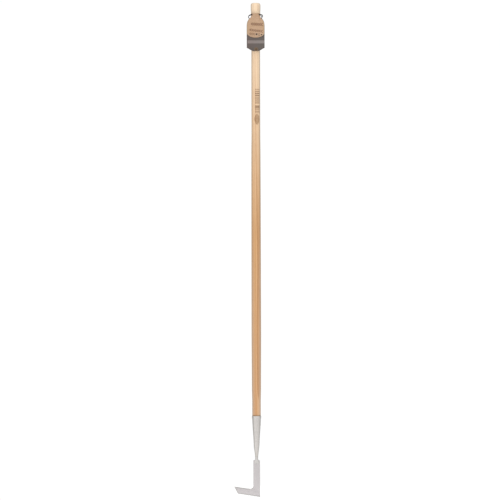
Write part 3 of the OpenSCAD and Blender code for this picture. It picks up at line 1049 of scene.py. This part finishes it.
def elastic_cord(tree, knots):
    """The elastic from the left hole, round the back of the handle, to the right hole."""
    route = [tag_place(-HOLE_X - 0.3, SWING_Y, 0)] + [tag_place(*p) for p in CORD_ROUTE]
    route.append(tag_place(HOLE_X + 0.3, SWING_Y, 0))
    line = smooth_line(route, 8)
    cord = wire_mesh("braided_elastic_cord", [(line, False)])
    grow(cord, tree, Radius=CORD_WIDTH / 2 * MM)
    settle(cord, "tag_loop", "elastic", "elastic_cord")


def cord_knots(tree):
    """A tight knot in front of each hole, the stretch through the hole and a short cut tail."""
    lines = []
    for side in (-1, 1):
        middle = Vector((side * HOLE_X, KNOT_Y, 0))
        loop = [middle + 0.62 * Vector((math.sin(t) + 2 * math.sin(2 * t), 0.9 * math.sin(3 * t),
                                        math.cos(t) - 2 * math.cos(2 * t))) for t in turns(72)]
        lines.append(([tag_place(*p) for p in loop], True))
        tail = [middle + Vector(p) for p in TAILS[side]]
        lines.append((smooth_line([tag_place(*p) for p in tail], 6), False))
        through = [(side * HOLE_X, SWING_Y, 0), (side * HOLE_X, -19, 0), (side * HOLE_X, -21.6, 0)]
        lines.append((smooth_line([tag_place(*p) for p in through], 6), False))
    knots = wire_mesh("tied_cord_ends", lines)
    grow(knots, tree, Radius=0.98 * MM, Relief=0.1 * MM)
    settle(knots, "tag", "elastic", "cord_knots")
    return knots


TAG_NECK = 14.8         # half the width at the holes
TAG_HALF = 28           # half the full width
CARD_LENGTH, CARD_BACK, CARD_THICKNESS = 118.2, -19.15, 0.5
LABEL_LENGTH, LABEL_BACK, LABEL_THICKNESS = 76, -19.67, 0.38
LABEL_INSET = 0.6       # how much smaller the label is than the card, all round
SHOULDER = [            # how far below its top the tag has widened by which share
    (9, 0), (12.3, 0.045), (15.4, 0.27), (18.6, 0.52), (21.7, 0.69), (27.9, 0.885),
    (34.2, 0.975), (40.6, 1)
]
CARD_FOOT = [           # lower corners: distance in from the side, height above the lower edge
    (0, 10.9), (0.3, 10), (1, 9.2), (4, 7.9), (6.5, 6.6), (9.8, 4.4), (12.5, 3), (14.5, 2), (17, 0.5),
    (21, 0)
]
LABEL_FOOT = [
    (0, 11.4), (0.8, 10.4), (2.3, 8.9), (5.4, 6), (8.6, 4), (11.7, 2.5), (14.9, 1.5), (18.4, 0.6),
    (22.4, 0)
]


def tag_edge(length, inset, foot):
    """Right half of a tag's outline, top to bottom, in millimetres: (x, height)."""
    neck, half = TAG_NECK - inset / 3, TAG_HALF - inset
    edge = [(neck - 0.6, TAG_TOP), (neck, TAG_TOP - 0.6)]
    for drop in steps(9, 40.6, 26):
        edge.append((neck + (half - neck) * eased(SHOULDER, drop), TAG_TOP - drop - inset))
    return edge + [(half - inwards, TAG_TOP - length + up) for inwards, up in foot]


def cut_card(name, edge, back, thickness, shape):
    """A card with two punched holes, cut from flat and bent by shape(x, height), in millimetres."""
    curve = bpy.data.curves.new(name, "CURVE")
    curve.dimensions = "2D"
    curve.fill_mode = "BOTH"
    curve.extrude = thickness / 2 * MM
    loops = [edge + [(-x, z) for x, z in edge[::-1]]]
    for side in (-1, 1):
        loops.append([(side * HOLE_X + HOLE_RADIUS * math.cos(t), SWING_LEVEL + HOLE_RADIUS * math.sin(t))
                      for t in turns(24)])
    for loop in loops:
        spline = curve.splines.new("POLY")
        spline.points.add(len(loop) - 1)
        for point, (x, z) in zip(spline.points, loop):
            point.co = (x * MM, height(z), 0, 1)
        spline.use_cyclic_u = True
    flat = put(name, curve)
    mesh = bpy.data.meshes.new_from_object(flat.evaluated_get(bpy.context.evaluated_depsgraph_get()))
    bpy.data.objects.remove(flat)
    upright = Matrix.Rotation(math.pi / 2, 4, "X")
    mesh.transform(Matrix.Translation((0, (back - thickness / 2) * MM, 0)) @ upright)
    bm = bmesh.new()
    bm.from_mesh(mesh)
    bmesh.ops.remove_doubles(bm, verts=bm.verts, dist=1e-6)
    low, high = min(z for x, z in edge), max(z for x, z in edge)
    cuts = [((x * MM, 0, 0), (1, 0, 0)) for x in steps(-27, 27, 18)]
    cuts += [((0, 0, height(z)), (0, 0, 1)) for z in steps(low + 2, high - 2, int((high - low) / 3))]
    for where, across in cuts:
        bmesh.ops.bisect_plane(bm, geom=bm.verts[:] + bm.edges[:] + bm.faces[:], plane_co=where,
                               plane_no=across, dist=1e-7)
    bmesh.ops.triangulate(bm, faces=bm.faces)
    for vert in bm.verts:
        vert.co.y += shape(vert.co.x / MM, (vert.co.z - GROUND) / MM) * MM
    bmesh.ops.recalc_face_normals(bm, faces=bm.faces)
    return link_mesh(name, bm, 50)


def card_bend(x, level):
    """How far the card stands back from flat: its sides lean back at the top, forward at the foot."""
    down = min(1, max(0, (TAG_TOP - level) / 118))
    return (0.9 - 2.1 * down) * (abs(x) / TAG_HALF) ** 2


def label_bend(x, level):
    """The label follows the card and lifts a little off it towards its lower edge."""
    free = min(1, max(0, (1480 - level) / 38))
    return card_bend(x, level) - 1.6 * free ** 2 - 0.9 * free * (abs(x) / TAG_HALF) ** 3


def hang_tag():
    """The dark backing card and the shorter kraft label in front of it."""
    card = cut_card("bowed_backing_card", tag_edge(CARD_LENGTH, 0, CARD_FOOT), CARD_BACK,
                    CARD_THICKNESS, card_bend)
    settle(card, "tag", "dark_card", "backing_card", materials=[dark_card()])
    label = cut_card("lifted_kraft_label", tag_edge(LABEL_LENGTH, LABEL_INSET, LABEL_FOOT), LABEL_BACK,
                     LABEL_THICKNESS, label_bend)
    settle(label, "tag", "kraft", "kraft_label", materials=[kraft_card()])


# ---- build

set_camera()
braid = braid_tree(braided_elastic())
elastic_cord(braid, cord_knots(braid))
turned = turned_steel()
ash_handle()
handle_socket(turned)
socket_weld(turned)
socket_screw(turned)
forged = ground_steel("forged_stainless", srgb(208, 205, 203), srgb(190, 187, 185), 0, 0.3)
neck_rod(forged)
blade_weld(forged)
l_blade()
hang_tag()
add_floor()
set_lights()
